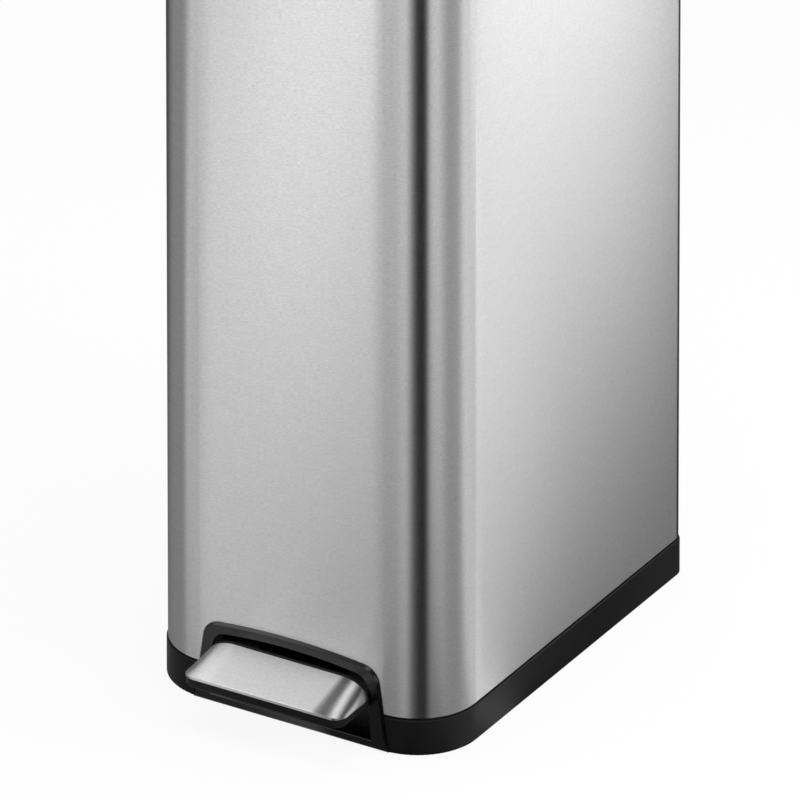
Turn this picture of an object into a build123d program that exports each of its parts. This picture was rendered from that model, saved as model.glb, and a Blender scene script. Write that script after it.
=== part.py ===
"""A slim pedal trash can: steel shell, moulded base, lid, bucket and pedal linkage.

Millimetres, +Z up, front towards -Y. The origin is on the floor, under the middle of the
can's overall length from the pedal's front edge to the base's rear edge.
"""
from build123d import *
from math import asin, atan, cos, degrees, radians, sin
import os

os.makedirs("parts", exist_ok=True)

# Overall sizes
body_width = 250
body_depth = 342
total_height = 668
pedal_reach = 44
base_flare = 1
front_y = pedal_reach - (pedal_reach + body_depth + base_flare) / 2
rear_y = front_y + body_depth
body_mid_y = (front_y + rear_y) / 2
front_corner_radius = 48
rear_corner_radius = 10

# Base and feet
foot_radius = 9
foot_standing = 0.5
foot_recess = 2
foot_x = 96
foot_front_y = -100
foot_rear_y = 165
base_bottom = foot_standing
base_top = 28.9
base_edge_radius = 0.8
base_floor_top = 5
base_wall = 3.4
spigot_height = 12
rib_thickness = 2
rib_height = 9
rib_x = 70
post_radius = 6
post_x = 92
post_front_y = -88
post_rear_y = 118

# Steel shell and rear panel
sheet = 0.8
sheet_fit = 0.1
shell_bottom = 30.5
shell_top = 630
flange_depth = 12
panel_front_y = rear_y - rear_corner_radius
panel_wall = 2.5
panel_inner_y = rear_y - panel_wall
panel_boss_x = body_width / 2 - 8
panel_boss_radius = 4
panel_screw_heights = (110, 330, 550)

# Pedal surround
surround_proud = 2.5
surround_bottom = 0.4
surround_side_top = 65.6
surround_arch_top = 70.4
surround_foot_half = 81.7
surround_top_half = 72.2
surround_corner = 15
surround_bevel = 1.7
surround_gap = 0.5
opening_sill = 7.5
opening_side_top = 57.3
opening_arch_top = 62.3
opening_foot_half = 67.5
opening_top_half = 63.8
opening_corner = 11
opening_edge_radius = 1
tunnel_depth = 14
tunnel_wall = 2
lever_window_half = 34
lever_window_bottom = 11
lever_window_top = 56
steel_overlap = 4

# Top collar, hinge and lid
collar_top = 638
collar_skirt = 20
collar_ledge = 633
collar_wall = 3
hinge_y = rear_y - 18
hinge_z = 644
hinge_pin_radius = 3
hinge_pin_half = 58
running_clearance = 0.05
beam_front = 6.5
beam_top = 6
beam_half = 112
knuckle_radius = 7.5
knuckle_inner_x = 28
knuckle_outer_x = 48
knuckle_gap = 0.6
lid_bottom = 640
lid_rear_y = hinge_y - 9
lid_edge_radius = 9
liner_wall = 3.5
liner_top = total_height - 6
liner_edge_radius = 7
lid_arm_half = 4
bumper_radius = 2
bumper_height = 1.7
lid_open_angle = 80

# Crank and lift rod
crank_radius = 22
crank_half_swing = lid_open_angle / 2
crank_pin_radius = 2.5
crank_pin_half = 15
ear_inner_x = 10.5
ear_thickness = 4
ear_rounding = 5.5
ear_reach = 27
ear_notch_height = 12
crank_slot_half = 19
crank_slot_reach = 33
rod_radius = 3
crank_drop = crank_radius * sin(radians(crank_half_swing))
crank_reach = crank_radius * cos(radians(crank_half_swing))
rod_y = hinge_y - (crank_reach + crank_radius) / 2
rod_travel = 2 * crank_drop
head_half_x = 9
head_half_y = 8.5
head_half_z = 7
head_slot_length = 11.4
head_slot_height = 6.8
guide_heights = (150, 500)
guide_hole = rod_radius + running_clearance
guide_half_height = 9
guide_eye_radius = 8
guide_arm_half = 5
guide_plate_half = 22
guide_plate = 3
guide_screw_x = 15
guide_screw_bite = 1.8

# Pedal lever
pivot_y = -30
pivot_z = 30
lever_rear = rod_y - pivot_y
lever_tilt = degrees(asin(rod_travel / lever_rear)) / 2
lever_half_width = 20
lever_half_height = 6
lever_wall = 2
lever_front = 138
lever_web_rear = 160
axle_radius = 3
axle_half = 44
axle_block_inner_x = 27
axle_block_outer_x = 41
axle_block_half_y = 7
axle_block_top = 38
axle_flange_half_y = 30
axle_flange = 4
axle_screw_pitch = 46
floor_bite = 3
bush_radius = 5
lever_pin_radius = 3
lever_boss_radius = 8
pedal_screw_reaches = (108, 126)
pedal_screw_length = 5
foot_block_bottom = 8.5
foot_block_top = 12
foot_slot_length = 8.4
foot_slot_height = 6.3
rod_socket = 8

# Pedal
pedal_half = 67
pedal_end_flat = 44
pedal_corner = 10
pedal_edge_radius = 1.4
pedal_edge_ease = 0.1
pedal_bottom = 34.4
pedal_seam = 41.3
pedal_back_top = 55
pedal_front_top = 43.6
pedal_back = surround_proud + 0.6
pedal_rim = 2
pedal_rim_rise = 1.6
pedal_rim_radius = 0.7
pedal_slope = (pedal_back_top - pedal_front_top) / (pedal_reach - pedal_back - pedal_rim)
core_inset = 0.6
pedal_neck_half = 29
pedal_neck_back = -18
pedal_neck_top = 48

# Bucket and the cover under it
bucket_half = 115
bucket_front_y = -140
bucket_rear_y = 134
bucket_front_radius = 42
bucket_rear_radius = 24
bucket_bottom = 58.5
bucket_taper = 12
bucket_wall = 2
bucket_rim_grow = 4
bucket_rim_thickness = 3
bucket_clearance = 1
grip_length = 90
grip_height = 22
grip_z = 598
cover_bottom = 54
cover_thickness = 3
cover_half = 112
cover_front_y = -130
cover_rear_y = 138
cover_corner = 24

# Fasteners
screw_radius = 1.5
screw_head_radius = 3.2
screw_head_height = 2
driver_length = 3.6
driver_width = 0.9
driver_depth = 1.1


def body_outline(inset):
    """Plan outline of the can, moved inward by inset on every side."""
    with BuildSketch() as outline:
        with Locations((0, body_mid_y)):
            Rectangle(body_width - 2 * inset, body_depth - 2 * inset)
        fillet(outline.vertices().group_by(Axis.Y)[0], front_corner_radius - inset)
        fillet(outline.vertices().group_by(Axis.Y)[-1], rear_corner_radius - inset)
    return outline.sketch


def bucket_outline(grow):
    """Plan outline of the bucket below its rim, moved outward by grow on every side."""
    with BuildSketch() as outline:
        with Locations((0, (bucket_front_y + bucket_rear_y) / 2)):
            Rectangle(2 * (bucket_half + grow), bucket_rear_y - bucket_front_y + 2 * grow)
        fillet(outline.vertices().group_by(Axis.Y)[0], bucket_front_radius + grow)
        fillet(outline.vertices().group_by(Axis.Y)[-1], bucket_rear_radius + grow)
    return outline.sketch


def arch_outline(foot_half, top_half, bottom, side_top, arch_top, corner):
    """Outline of a door with a shallow arch on top and sides that spread to the foot."""
    with BuildSketch() as arch:
        with BuildLine():
            Line((-top_half, side_top), (-foot_half, bottom))
            Line((-foot_half, bottom), (foot_half, bottom))
            Line((foot_half, bottom), (top_half, side_top))
            ThreePointArc((top_half, side_top), (0, arch_top), (-top_half, side_top))
        make_face()
        fillet(arch.vertices().group_by(Axis.Y)[-1], corner)
    return arch.sketch


def surround_outline(inset):
    """Outer outline of the pedal surround, moved inward by inset."""
    return arch_outline(
        surround_foot_half - inset,
        surround_top_half - inset,
        surround_bottom,
        surround_side_top - inset,
        surround_arch_top - inset,
        surround_corner - inset,
    )


def opening_outline(grow):
    """Outline of the surround's opening, moved outward by grow."""
    return arch_outline(
        opening_foot_half + grow,
        opening_top_half + grow,
        opening_sill - grow,
        opening_side_top + grow,
        opening_arch_top + grow,
        opening_corner + grow,
    )


def front_plane(forward):
    """Upright plane facing the front, that far ahead of the body's front face."""
    return Plane(origin=(0, front_y - forward, 0), x_dir=(1, 0, 0), z_dir=(0, -1, 0))


def pedal_profile(half, top):
    """Front view of the pedal's top: flat in the middle, with ends that curve down to the seam."""
    flat = pedal_end_flat
    end = half - flat
    with BuildSketch() as profile:
        with BuildLine():
            EllipticalCenterArc((flat, pedal_seam), end, top - pedal_seam, start_angle=0, arc_size=90)
            Line((flat, top), (-flat, top))
            EllipticalCenterArc((-flat, pedal_seam), end, top - pedal_seam, start_angle=90, arc_size=90)
            Line((-half, pedal_seam), (half, pedal_seam))
        make_face()
    return profile.sketch


def pedal_top(inset):
    """Sloping upper body of the pedal above its seam, moved inward by inset."""
    back = pedal_back + pedal_rim
    front = pedal_reach - inset
    half = pedal_half - inset
    with BuildPart() as body:
        with BuildSketch(front_plane(back)):
            add(pedal_profile(half, pedal_back_top - inset))
        with BuildSketch(front_plane(front)):
            add(pedal_profile(half, pedal_front_top - inset + pedal_slope * inset))
        loft()
        with BuildSketch(Plane.XY.offset(pedal_seam)) as plan:
            with Locations((0, front_y - back)):
                Rectangle(2 * half, front - back, align=(Align.CENTER, Align.MAX))
            fillet(plan.vertices().group_by(Axis.Y)[0], pedal_corner - inset)
        extrude(amount=pedal_back_top, mode=Mode.INTERSECT)
    return body.part


def screws(planes, shank_length):
    """Pan-head screws, each along its plane's normal with its head behind the plane."""
    with BuildPart() as group:
        for plane in planes:
            with BuildSketch(plane):
                Circle(screw_head_radius)
            extrude(amount=-screw_head_height)
            with BuildSketch(plane):
                Circle(screw_radius)
            extrude(amount=shank_length)
            with BuildSketch(plane.offset(-screw_head_height)):
                Rectangle(driver_length, driver_width)
                Rectangle(driver_width, driver_length)
            extrude(amount=driver_depth, mode=Mode.SUBTRACT)
    return group.part


lever_plane = Plane(
    origin=(0, pivot_y, pivot_z),
    x_dir=(0, -cos(radians(lever_tilt)), sin(radians(lever_tilt))),
    z_dir=(-1, 0, 0),
)
pedal_screw_planes = [
    Plane(
        origin=lever_plane.from_local_coords((reach, lever_half_height - lever_wall, 0)),
        x_dir=(1, 0, 0),
        z_dir=lever_plane.y_dir,
    )
    for reach in pedal_screw_reaches
]
foot_places = [(x, y) for x in (-foot_x, foot_x) for y in (foot_front_y, foot_rear_y)]
post_places = [(x, y) for x in (-post_x, post_x) for y in (post_front_y, post_rear_y)]

# Base: a moulded tray with a band that shows below the steel
with BuildPart() as base:
    with BuildSketch(Plane.XY.offset(base_bottom)):
        add(body_outline(-base_flare))
    extrude(amount=base_top - base_bottom)
    fillet(base.faces().sort_by(Axis.Z)[-1].edges(), base_edge_radius)
    fillet(base.faces().sort_by(Axis.Z)[0].edges(), base_edge_radius)
    with BuildSketch(Plane.XY.offset(base_top)):
        add(body_outline(sheet + sheet_fit))
        with Locations((0, panel_front_y - 2 * sheet)):
            Rectangle(body_width, body_depth, align=(Align.CENTER, Align.MIN), mode=Mode.SUBTRACT)
    extrude(amount=spigot_height)
    with BuildSketch(Plane.XY.offset(base_floor_top)):
        add(body_outline(base_wall))
    extrude(amount=base_top + spigot_height, mode=Mode.SUBTRACT)
    # Ribs that stiffen the floor beside the lever
    with BuildSketch(Plane.XY.offset(base_floor_top)):
        with Locations((-rib_x, body_mid_y), (rib_x, body_mid_y)):
            Rectangle(rib_thickness, body_depth - 4 * rear_corner_radius)
        for rib_y in (foot_front_y, pivot_y, foot_rear_y - front_corner_radius):
            with Locations((-post_x, rib_y), (post_x, rib_y)):
                Rectangle(2 * (post_x - rib_x), rib_thickness)
    extrude(amount=rib_height)
    # Posts that carry the mechanism cover
    with BuildSketch(Plane.XY.offset(base_floor_top)):
        with Locations(*post_places):
            Circle(post_radius)
    extrude(amount=cover_bottom - base_floor_top)
    # Seat of the surround, and the doorway behind it
    with BuildSketch(front_plane(0)):
        add(surround_outline(-surround_gap))
    extrude(amount=surround_proud, mode=Mode.SUBTRACT)
    with BuildSketch(front_plane(0)):
        add(opening_outline(tunnel_wall))
    extrude(amount=-tunnel_depth, mode=Mode.SUBTRACT)
    # Pockets of the feet and holes of the screws
    with BuildSketch(Plane.XY.offset(base_bottom)):
        with Locations(*foot_places):
            Circle(foot_radius)
    extrude(amount=foot_recess, mode=Mode.SUBTRACT)
    with BuildSketch(Plane.XY.offset(cover_bottom)):
        with Locations(*post_places):
            Circle(screw_radius)
    extrude(amount=-4 * screw_head_radius, mode=Mode.SUBTRACT)
    with BuildSketch(Plane.XY.offset(base_floor_top)):
        for side in (-1, 1):
            with Locations((side * (axle_block_inner_x + axle_block_outer_x) / 2, pivot_y)):
                with GridLocations(0, axle_screw_pitch, 1, 2):
                    Circle(screw_radius)
    extrude(amount=-floor_bite, mode=Mode.SUBTRACT)
base.part.label = "base"
export_step(base.part, "parts/base.step")

# Feet: four soft pads let into the base
with BuildPart() as feet:
    with BuildSketch():
        with Locations(*foot_places):
            Circle(foot_radius)
    extrude(amount=foot_standing + foot_recess)
    chamfer(feet.edges().filter_by(GeomType.CIRCLE).group_by(Axis.Z)[0], foot_standing / 2)
feet.part.label = "feet"
export_step(feet.part, "parts/feet.step")

# Outer shell: one sheet bent round the front, with flanges at its rear edges
with BuildPart() as outer_shell:
    with BuildSketch(Plane.XY.offset(shell_bottom)):
        add(body_outline(0))
        add(body_outline(sheet), mode=Mode.SUBTRACT)
        with Locations((0, panel_front_y)):
            Rectangle(body_width, body_depth, align=(Align.CENTER, Align.MIN), mode=Mode.SUBTRACT)
        with Locations((-body_width / 2, panel_front_y)):
            Rectangle(flange_depth, sheet, align=(Align.MIN, Align.MAX))
        with Locations((body_width / 2, panel_front_y)):
            Rectangle(flange_depth, sheet, align=(Align.MAX, Align.MAX))
    extrude(amount=shell_top - shell_bottom)
    # Arched cut-out, hidden behind the surround's face
    with BuildSketch(front_plane(0)):
        add(surround_outline(steel_overlap))
    extrude(amount=-2 * sheet, mode=Mode.SUBTRACT)
    for height in panel_screw_heights:
        with Locations((-panel_boss_x, panel_front_y, height), (panel_boss_x, panel_front_y, height)):
            Cylinder(screw_radius, 4 * sheet, rotation=(90, 0, 0), mode=Mode.SUBTRACT)
outer_shell.part.label = "outer_shell"
export_step(outer_shell.part, "parts/outer_shell.step")

# Rear panel: a shallow moulded pan that closes the back and rounds its corners
with BuildPart() as rear_panel:
    with BuildSketch(Plane.XY.offset(shell_bottom)):
        add(body_outline(0))
        with Locations((0, panel_front_y)):
            Rectangle(2 * body_width, body_depth, align=(Align.CENTER, Align.MAX), mode=Mode.SUBTRACT)
    extrude(amount=shell_top - shell_bottom)
    with BuildSketch(Plane.XY.offset(shell_bottom + panel_wall)):
        add(body_outline(panel_wall))
        with Locations((0, panel_front_y - panel_wall)):
            Rectangle(2 * body_width, body_depth, align=(Align.CENTER, Align.MAX), mode=Mode.SUBTRACT)
    extrude(amount=shell_top - shell_bottom - 2 * panel_wall, mode=Mode.SUBTRACT)
    # Screw bosses behind the shell's flanges
    for height in panel_screw_heights:
        with Locations((-panel_boss_x, panel_front_y, height), (panel_boss_x, panel_front_y, height)):
            Cylinder(
                panel_boss_radius,
                rear_corner_radius - panel_wall,
                rotation=(-90, 0, 0),
                align=(Align.CENTER, Align.CENTER, Align.MIN),
            )
            Cylinder(
                screw_radius,
                rear_corner_radius - panel_wall,
                rotation=(-90, 0, 0),
                align=(Align.CENTER, Align.CENTER, Align.MIN),
                mode=Mode.SUBTRACT,
            )
    for height in guide_heights:
        with Locations((-guide_screw_x, panel_inner_y, height), (guide_screw_x, panel_inner_y, height)):
            Cylinder(
                screw_radius,
                guide_screw_bite,
                rotation=(-90, 0, 0),
                align=(Align.CENTER, Align.CENTER, Align.MIN),
                mode=Mode.SUBTRACT,
            )
rear_panel.part.label = "rear_panel"
export_step(rear_panel.part, "parts/rear_panel.step")

# Pedal surround: an arched bezel with a shallow tunnel and a window for the lever
with BuildPart() as pedal_surround:
    with BuildSketch(front_plane(0)):
        add(surround_outline(0))
    extrude(amount=surround_proud)
    face_edges = pedal_surround.faces().sort_by(Axis.Y)[0].edges()
    chamfer(face_edges, surround_bevel)
    with BuildSketch(front_plane(0)):
        add(opening_outline(tunnel_wall))
    extrude(amount=-tunnel_depth)
    with BuildSketch(front_plane(surround_proud)):
        add(opening_outline(0))
    extrude(amount=-(surround_proud + tunnel_depth - tunnel_wall), mode=Mode.SUBTRACT)
    fillet(pedal_surround.faces().sort_by(Axis.Y)[0].inner_wires()[0].edges(), opening_edge_radius)
    with BuildSketch(front_plane(-tunnel_depth)):
        with Locations((0, (lever_window_bottom + lever_window_top) / 2)):
            Rectangle(2 * lever_window_half, lever_window_top - lever_window_bottom)
    extrude(amount=tunnel_wall, mode=Mode.SUBTRACT)
pedal_surround.part.label = "pedal_surround"
export_step(pedal_surround.part, "parts/pedal_surround.step")

# Mechanism cover: a plate on the base's posts that keeps the bucket off the lever
with BuildPart() as mechanism_cover:
    with BuildSketch(Plane.XY.offset(cover_bottom)) as cover_plan:
        with Locations((0, (cover_front_y + cover_rear_y) / 2)):
            Rectangle(2 * cover_half, cover_rear_y - cover_front_y)
        fillet(cover_plan.vertices(), cover_corner)
    extrude(amount=cover_thickness)
    with Locations(*[(x, y, cover_bottom + cover_thickness) for x, y in post_places]):
        CounterBoreHole(screw_radius, screw_head_radius, screw_head_height)
mechanism_cover.part.label = "mechanism_cover"
export_step(mechanism_cover.part, "parts/mechanism_cover.step")

# Screws that hold the mechanism cover, sunk flush in its top
cover_screw_z = cover_bottom + cover_thickness - screw_head_height
cover_screws = screws(
    [Plane(origin=(x, y, cover_screw_z), z_dir=(0, 0, -1)) for x, y in post_places],
    2 * post_radius,
)
cover_screws.label = "cover_screws"
export_step(cover_screws, "parts/cover_screws.step")

# Screws through the shell's flanges into the rear panel's bosses
panel_screw_places = [(x, z) for x in (-panel_boss_x, panel_boss_x) for z in panel_screw_heights]
panel_screws = screws(
    [Plane(origin=(x, panel_front_y - sheet, z), z_dir=(0, 1, 0)) for x, z in panel_screw_places],
    sheet + panel_boss_radius,
)
panel_screws.label = "panel_screws"
export_step(panel_screws, "parts/panel_screws.step")

# Axle blocks: two pillow blocks that hold the pedal's axle
axle_block_places = [side * (axle_block_inner_x + axle_block_outer_x) / 2 for side in (-1, 1)]
axle_block_width = axle_block_outer_x - axle_block_inner_x
with BuildPart() as axle_blocks:
    with BuildSketch(Plane.XY.offset(base_floor_top)):
        with Locations(*[(x, pivot_y) for x in axle_block_places]):
            Rectangle(axle_block_width, 2 * axle_flange_half_y)
    extrude(amount=axle_flange)
    with BuildSketch(Plane.XY.offset(base_floor_top)):
        with Locations(*[(x, pivot_y) for x in axle_block_places]):
            Rectangle(axle_block_width, 2 * axle_block_half_y)
    extrude(amount=axle_block_top - base_floor_top)
    fillet(axle_blocks.edges().filter_by(Axis.X).group_by(Axis.Z)[-1], axle_block_half_y / 2)
    with BuildSketch(Plane(origin=(-axle_half, pivot_y, pivot_z), z_dir=(1, 0, 0))):
        Circle(axle_radius)
    extrude(amount=2 * axle_half, mode=Mode.SUBTRACT)
    with BuildSketch(Plane.XY.offset(base_floor_top)):
        with Locations(*[(x, pivot_y) for x in axle_block_places]):
            with GridLocations(0, axle_screw_pitch, 1, 2):
                Circle(screw_radius)
    extrude(amount=axle_flange, mode=Mode.SUBTRACT)
axle_blocks.part.label = "axle_blocks"
export_step(axle_blocks.part, "parts/axle_blocks.step")

# Screws of the axle blocks
axle_screw_ys = (pivot_y - axle_screw_pitch / 2, pivot_y + axle_screw_pitch / 2)
axle_screw_places = [(x, y) for x in axle_block_places for y in axle_screw_ys]
axle_screws = screws(
    [Plane(origin=(x, y, base_floor_top + axle_flange), z_dir=(0, 0, -1)) for x, y in axle_screw_places],
    axle_flange + floor_bite,
)
axle_screws.label = "axle_screws"
export_step(axle_screws, "parts/axle_screws.step")

# Pedal axle
with BuildPart() as pedal_axle:
    with BuildSketch(Plane(origin=(-axle_half, pivot_y, pivot_z), z_dir=(1, 0, 0))):
        Circle(axle_radius)
    extrude(amount=2 * axle_half)
    chamfer(pedal_axle.edges().filter_by(GeomType.CIRCLE), axle_radius / 5)
pedal_axle.part.label = "pedal_axle"
export_step(pedal_axle.part, "parts/pedal_axle.step")

# Rod guides: brackets on the rear panel, each with an eye that the lift rod slides in
for guide_name, guide_z in zip(("rod_guide_lower", "rod_guide_upper"), guide_heights):
    with BuildPart() as rod_guide:
        with BuildSketch(Plane.XY.offset(guide_z - guide_half_height)):
            with Locations((0, panel_inner_y)):
                Rectangle(2 * guide_plate_half, guide_plate, align=(Align.CENTER, Align.MAX))
            with Locations((0, rod_y)):
                Circle(guide_eye_radius)
                Rectangle(2 * guide_arm_half, panel_inner_y - rod_y, align=(Align.CENTER, Align.MIN))
                Circle(guide_hole, mode=Mode.SUBTRACT)
        extrude(amount=2 * guide_half_height)
        with BuildSketch(Plane(origin=(0, panel_inner_y, guide_z), x_dir=(1, 0, 0), z_dir=(0, -1, 0))):
            with GridLocations(2 * guide_screw_x, 0, 2, 1):
                Circle(screw_radius)
        extrude(amount=guide_plate, mode=Mode.SUBTRACT)
    rod_guide.part.label = guide_name
    export_step(rod_guide.part, f"parts/{guide_name}.step")

# Screws of the rod guides
guide_screw_places = [(x, z) for x in (-guide_screw_x, guide_screw_x) for z in guide_heights]
guide_screws = screws(
    [Plane(origin=(x, panel_inner_y - guide_plate, z), z_dir=(0, 1, 0)) for x, z in guide_screw_places],
    guide_plate + guide_screw_bite,
)
guide_screws.label = "guide_screws"
export_step(guide_screws, "parts/guide_screws.step")

# Top collar: a moulded rim with a ledge for the bucket and a beam for the hinge
with BuildPart() as top_collar:
    with BuildSketch(Plane.XY.offset(shell_top)):
        add(body_outline(0))
    extrude(amount=collar_top - shell_top)
    with BuildSketch(Plane.XY.offset(shell_top - collar_skirt)):
        add(body_outline(sheet + sheet_fit))
        add(body_outline(sheet + sheet_fit + collar_wall), mode=Mode.SUBTRACT)
        with Locations((0, panel_front_y - 2 * sheet)):
            Rectangle(body_width, body_depth, align=(Align.CENTER, Align.MIN), mode=Mode.SUBTRACT)
    extrude(amount=collar_skirt)
    with BuildSketch(Plane.XY.offset(shell_top)):
        add(bucket_outline(bucket_clearance))
    extrude(amount=collar_top - shell_top, mode=Mode.SUBTRACT)
    with BuildSketch(Plane.XY.offset(collar_ledge)):
        add(bucket_outline(bucket_rim_grow + bucket_clearance / 2))
    extrude(amount=collar_top - collar_ledge, mode=Mode.SUBTRACT)
    # Hinge beam, with a gap for each knuckle of the lid
    with BuildSketch(Plane.XY.offset(collar_top)):
        with Locations((0, rear_y)):
            Rectangle(2 * beam_half, rear_y - hinge_y + beam_front, align=(Align.CENTER, Align.MAX))
    extrude(amount=hinge_z + beam_top - collar_top)
    beam_ends = top_collar.edges().filter_by(Axis.X).group_by(Axis.Z)[-1]
    fillet(beam_ends, beam_top / 2)
    gap_floor = hinge_z - knuckle_radius - knuckle_gap
    gap_front_y = hinge_y - beam_front
    gap_rear_y = hinge_y + knuckle_radius + knuckle_gap
    with BuildSketch(Plane.XY.offset(gap_floor)):
        for side in (-1, 1):
            with Locations((side * (knuckle_inner_x + knuckle_outer_x) / 2, gap_front_y)):
                Rectangle(
                    knuckle_outer_x - knuckle_inner_x + 2 * knuckle_gap,
                    gap_rear_y - gap_front_y,
                    align=(Align.CENTER, Align.MIN),
                )
    extrude(amount=2 * knuckle_radius, mode=Mode.SUBTRACT)
    with BuildSketch(Plane(origin=(-hinge_pin_half, hinge_y, hinge_z), z_dir=(1, 0, 0))):
        Circle(hinge_pin_radius)
    extrude(amount=2 * hinge_pin_half, mode=Mode.SUBTRACT)
    # Slot that the lid's crank ears and the rod's head move through
    with BuildSketch(Plane.XY.offset(shell_top)):
        with Locations((0, hinge_y - crank_slot_reach)):
            Rectangle(
                2 * crank_slot_half,
                crank_slot_reach - beam_front,
                align=(Align.CENTER, Align.MIN),
            )
    extrude(amount=collar_top - shell_top, mode=Mode.SUBTRACT)
top_collar.part.label = "top_collar"
export_step(top_collar.part, "parts/top_collar.step")

# Hinge pin
with BuildPart() as hinge_pin:
    with BuildSketch(Plane(origin=(-hinge_pin_half, hinge_y, hinge_z), z_dir=(1, 0, 0))):
        Circle(hinge_pin_radius)
    extrude(amount=2 * hinge_pin_half)
hinge_pin.part.label = "hinge_pin"
export_step(hinge_pin.part, "parts/hinge_pin.step")

# Lid bumpers: soft buttons on the collar that the closed lid rests over
bumper_x = body_width / 2 - (body_width / 2 - bucket_half - bucket_rim_grow) / 2
with BuildPart() as lid_bumpers:
    with BuildSketch(Plane.XY.offset(collar_top)):
        with Locations((0, body_mid_y)):
            with GridLocations(2 * bumper_x, body_depth / 2, 2, 2):
                Circle(bumper_radius)
    extrude(amount=bumper_height)
    fillet(lid_bumpers.edges().filter_by(GeomType.CIRCLE).group_by(Axis.Z)[-1], bumper_radius / 3)
lid_bumpers.part.label = "lid_bumpers"
export_step(lid_bumpers.part, "parts/lid_bumpers.step")

# Inner bucket: a tapered moulding with a rim and two hand holes
taper_angle = degrees(atan(bucket_taper / (collar_ledge - bucket_bottom)))
with BuildPart() as inner_bucket:
    with BuildSketch(Plane.XY.offset(bucket_bottom)):
        add(bucket_outline(-bucket_taper))
    extrude(amount=collar_ledge - bucket_bottom, taper=-taper_angle)
    with BuildSketch(Plane.XY.offset(collar_ledge)):
        add(bucket_outline(bucket_rim_grow))
    extrude(amount=bucket_rim_thickness)
    fillet(inner_bucket.faces().sort_by(Axis.Z)[-1].edges(), bucket_rim_thickness / 3)
    with BuildSketch(Plane.XY.offset(bucket_bottom + bucket_wall)):
        add(bucket_outline(-bucket_taper - bucket_wall))
    extrude(amount=total_height - bucket_bottom, taper=-taper_angle, mode=Mode.SUBTRACT)
    with BuildSketch(Plane(origin=(-body_width / 2, 0, grip_z), x_dir=(0, 1, 0), z_dir=(1, 0, 0))):
        SlotOverall(grip_length, grip_height)
    extrude(amount=body_width, mode=Mode.SUBTRACT)
inner_bucket.part.label = "inner_bucket"
export_step(inner_bucket.part, "parts/inner_bucket.step")

# Lid shell: a steel pan, open below and behind
with BuildPart() as lid_shell:
    with BuildSketch(Plane.XY.offset(lid_bottom)):
        add(body_outline(0))
        with Locations((0, lid_rear_y)):
            Rectangle(body_width, body_depth, align=(Align.CENTER, Align.MIN), mode=Mode.SUBTRACT)
    extrude(amount=total_height - lid_bottom)
    lid_top_edges = lid_shell.faces().sort_by(Axis.Z)[-1].edges()
    fillet(lid_top_edges.sort_by(Axis.Y)[:-1], lid_edge_radius)
    offset(
        amount=-sheet,
        openings=[lid_shell.faces().sort_by(Axis.Z)[0], lid_shell.faces().sort_by(Axis.Y)[-1]],
    )
lid_shell.part.label = "lid_shell"
export_step(lid_shell.part, "parts/lid_shell.step")

# Lid liner: a moulding inside the lid, with hinge knuckles and two crank ears
crank_pin_y = hinge_y - crank_reach
crank_pin_z = hinge_z - crank_drop
with BuildPart() as lid_liner:
    with BuildSketch(Plane.XY.offset(lid_bottom)):
        add(body_outline(sheet + sheet_fit))
        with Locations((0, lid_rear_y)):
            Rectangle(body_width, body_depth, align=(Align.CENTER, Align.MIN), mode=Mode.SUBTRACT)
    extrude(amount=liner_top - lid_bottom)
    liner_top_edges = lid_liner.faces().sort_by(Axis.Z)[-1].edges()
    fillet(liner_top_edges.sort_by(Axis.Y)[:-1], liner_edge_radius)
    with BuildSketch(Plane.XY.offset(lid_bottom)):
        add(body_outline(sheet + sheet_fit + liner_wall))
        with Locations((0, lid_rear_y - liner_wall)):
            Rectangle(body_width, body_depth, align=(Align.CENTER, Align.MIN), mode=Mode.SUBTRACT)
    extrude(amount=liner_top - liner_wall - lid_bottom, mode=Mode.SUBTRACT)
    # Notch in the rear wall, so that the rod's head can pass between the ears
    with BuildSketch(Plane.XY.offset(lid_bottom)):
        with Locations((0, lid_rear_y)):
            Rectangle(2 * ear_inner_x, 2 * liner_wall)
    extrude(amount=ear_notch_height, mode=Mode.SUBTRACT)
    for side in (-1, 1):
        knuckle_plane = Plane(
            origin=(side * knuckle_inner_x, hinge_y, hinge_z), x_dir=(0, 1, 0), z_dir=(1, 0, 0)
        )
        with BuildSketch(knuckle_plane):
            Circle(knuckle_radius)
            Rectangle(
                hinge_y - lid_rear_y + liner_wall,
                2 * lid_arm_half,
                align=(Align.MAX, Align.CENTER),
            )
            Circle(hinge_pin_radius + running_clearance, mode=Mode.SUBTRACT)
        extrude(amount=side * (knuckle_outer_x - knuckle_inner_x))
        ear_plane = Plane(origin=(side * ear_inner_x, 0, 0), x_dir=(0, 1, 0), z_dir=(1, 0, 0))
        with BuildSketch(ear_plane):
            with BuildLine():
                Polyline(
                    (lid_rear_y - liner_wall, liner_top - liner_wall),
                    (hinge_y - ear_reach, liner_top - liner_wall),
                    (hinge_y - ear_reach, lid_bottom),
                    (crank_pin_y - ear_rounding, crank_pin_z),
                    (crank_pin_y + ear_rounding, crank_pin_z),
                    (lid_rear_y - liner_wall, lid_bottom),
                    close=True,
                )
            make_face()
            with Locations((crank_pin_y, crank_pin_z)):
                Circle(ear_rounding)
                Circle(crank_pin_radius, mode=Mode.SUBTRACT)
        extrude(amount=side * ear_thickness)
lid_liner.part.label = "lid_liner"
export_step(lid_liner.part, "parts/lid_liner.step")

# Crank pin: joins the two ears and carries the rod's head
with BuildPart() as crank_pin:
    with BuildSketch(Plane(origin=(-crank_pin_half, crank_pin_y, crank_pin_z), z_dir=(1, 0, 0))):
        Circle(crank_pin_radius)
    extrude(amount=2 * crank_pin_half)
crank_pin.part.label = "crank_pin"
export_step(crank_pin.part, "parts/crank_pin.step")

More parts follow.
